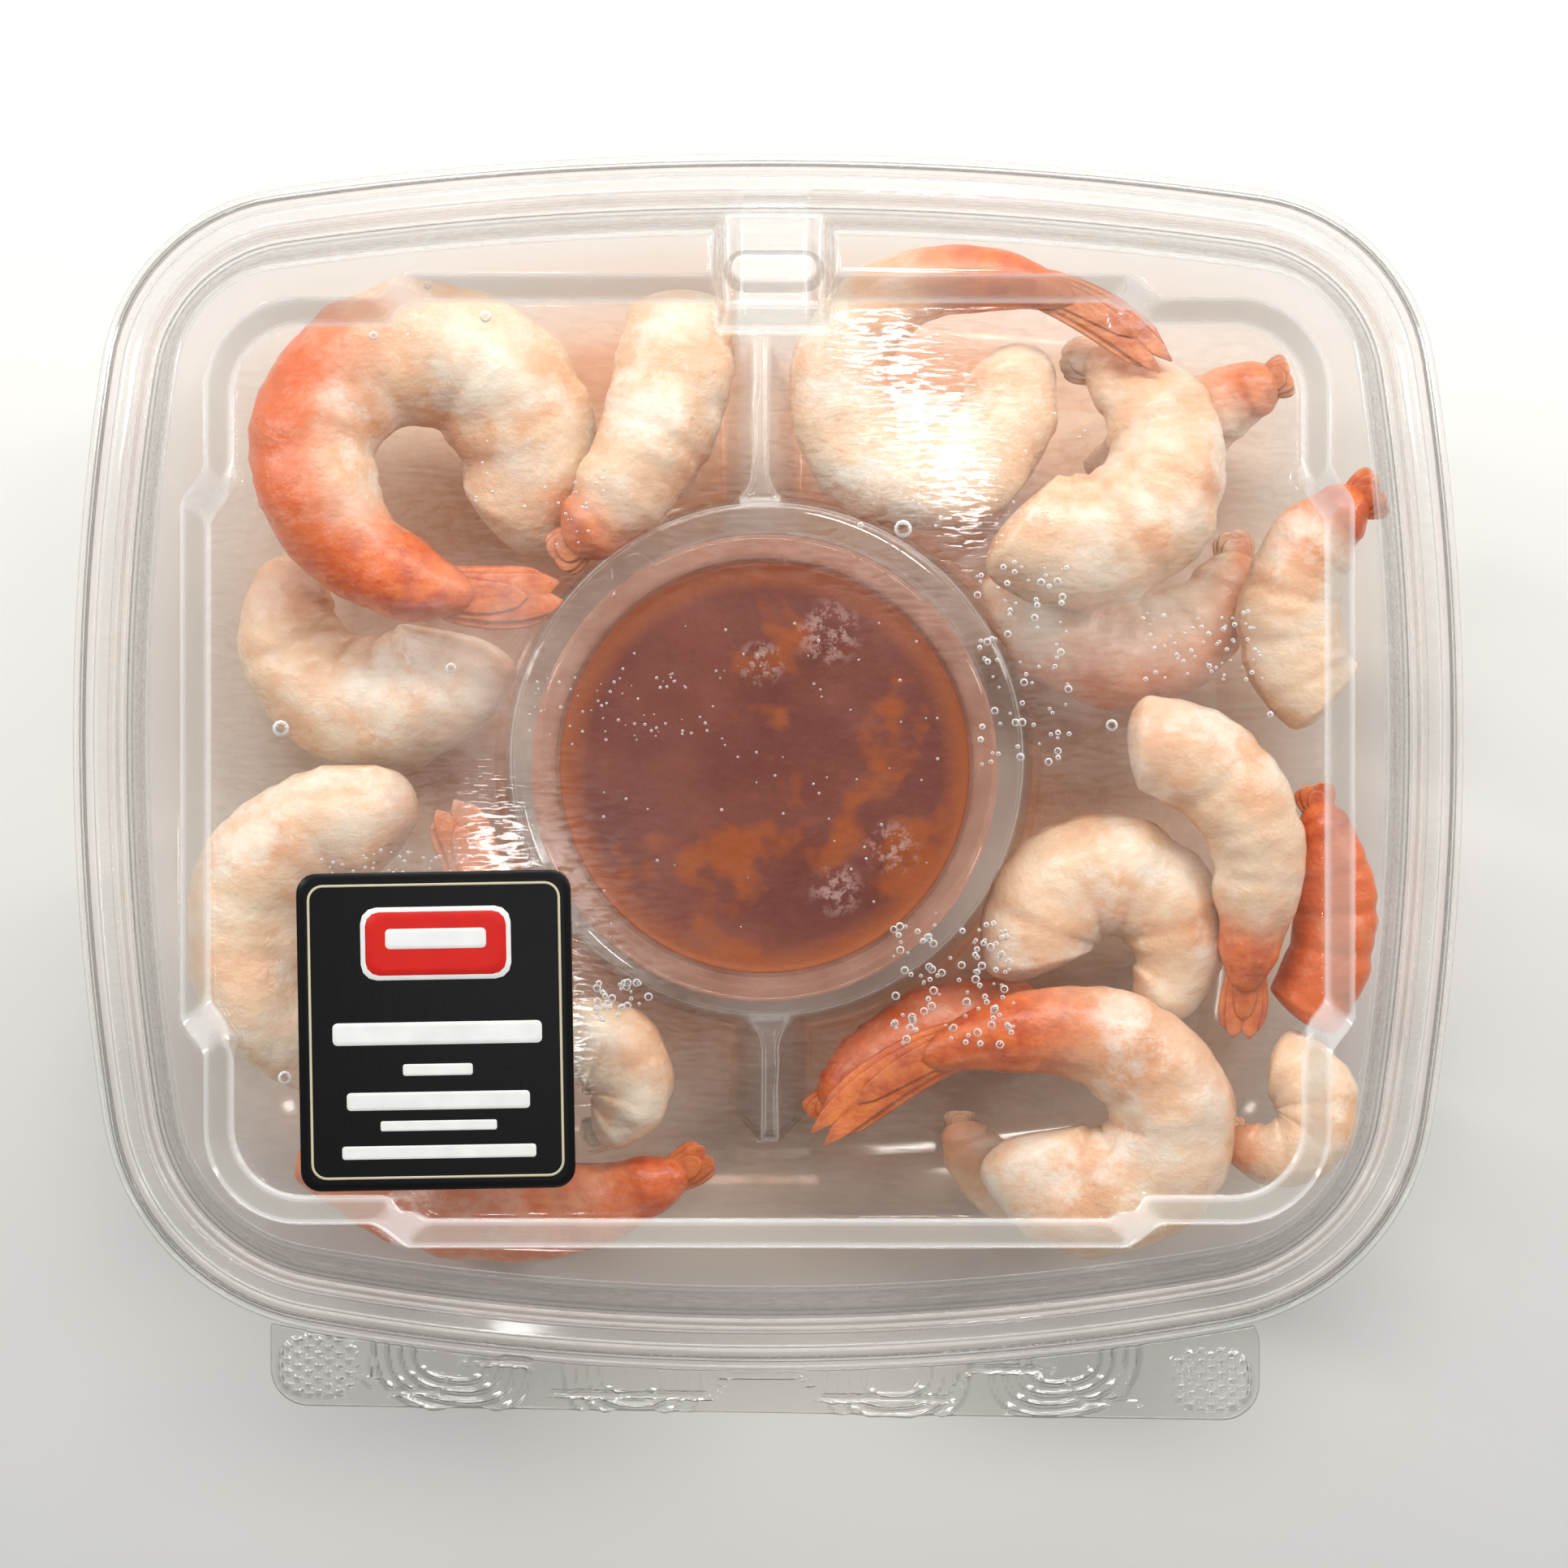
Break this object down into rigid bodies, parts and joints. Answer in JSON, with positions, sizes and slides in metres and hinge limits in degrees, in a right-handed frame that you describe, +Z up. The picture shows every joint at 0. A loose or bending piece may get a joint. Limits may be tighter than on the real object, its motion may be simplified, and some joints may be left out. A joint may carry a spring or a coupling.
{
  "type": "shrimp cocktail",
  "caption": "Shut clear plastic pack of cooked curled shrimps lying round a sealed cup of cocktail sauce, with a front label and a tear strip.",
  "frame": {"origin": "centre of the bounding box on the surface that the pack stands on", "axes": "+X along the pack's long side to the right, +Y to the back, away from the tear strip, +Z up"},
  "size_m": [0.1842, 0.1678, 0.0462],
  "materials": {
    "clear_plastic": "clear, glossy thermoformed sheet",
    "frosted_plastic": "translucent, slightly frosted",
    "sealing_film": "clear film with condensation",
    "label_print": "printed, satin",
    "sauce": "wet, smooth",
    "shrimp": "moist, softly glossy"
  },
  "bodies": {
    "root": {"tray": "clear_plastic", "lid": "clear_plastic", "tear_strip": "clear_plastic", "label": "label_print", "sauce_cup": "frosted_plastic", "cup_film": "sealing_film", "sauce": "sauce", "shrimp_01": "shrimp", "shrimp_02": "shrimp", "shrimp_03": "shrimp", "shrimp_04": "shrimp", "shrimp_05": "shrimp", "shrimp_06": "shrimp", "shrimp_07": "shrimp", "shrimp_08": "shrimp", "shrimp_09": "shrimp", "shrimp_10": "shrimp", "shrimp_11": "shrimp", "shrimp_12": "shrimp", "shrimp_13": "shrimp", "shrimp_14": "shrimp", "shrimp_15": "shrimp", "shrimp_16": "shrimp", "shrimp_17": "shrimp", "shrimp_18": "shrimp"}
  },
  "joints": []
}
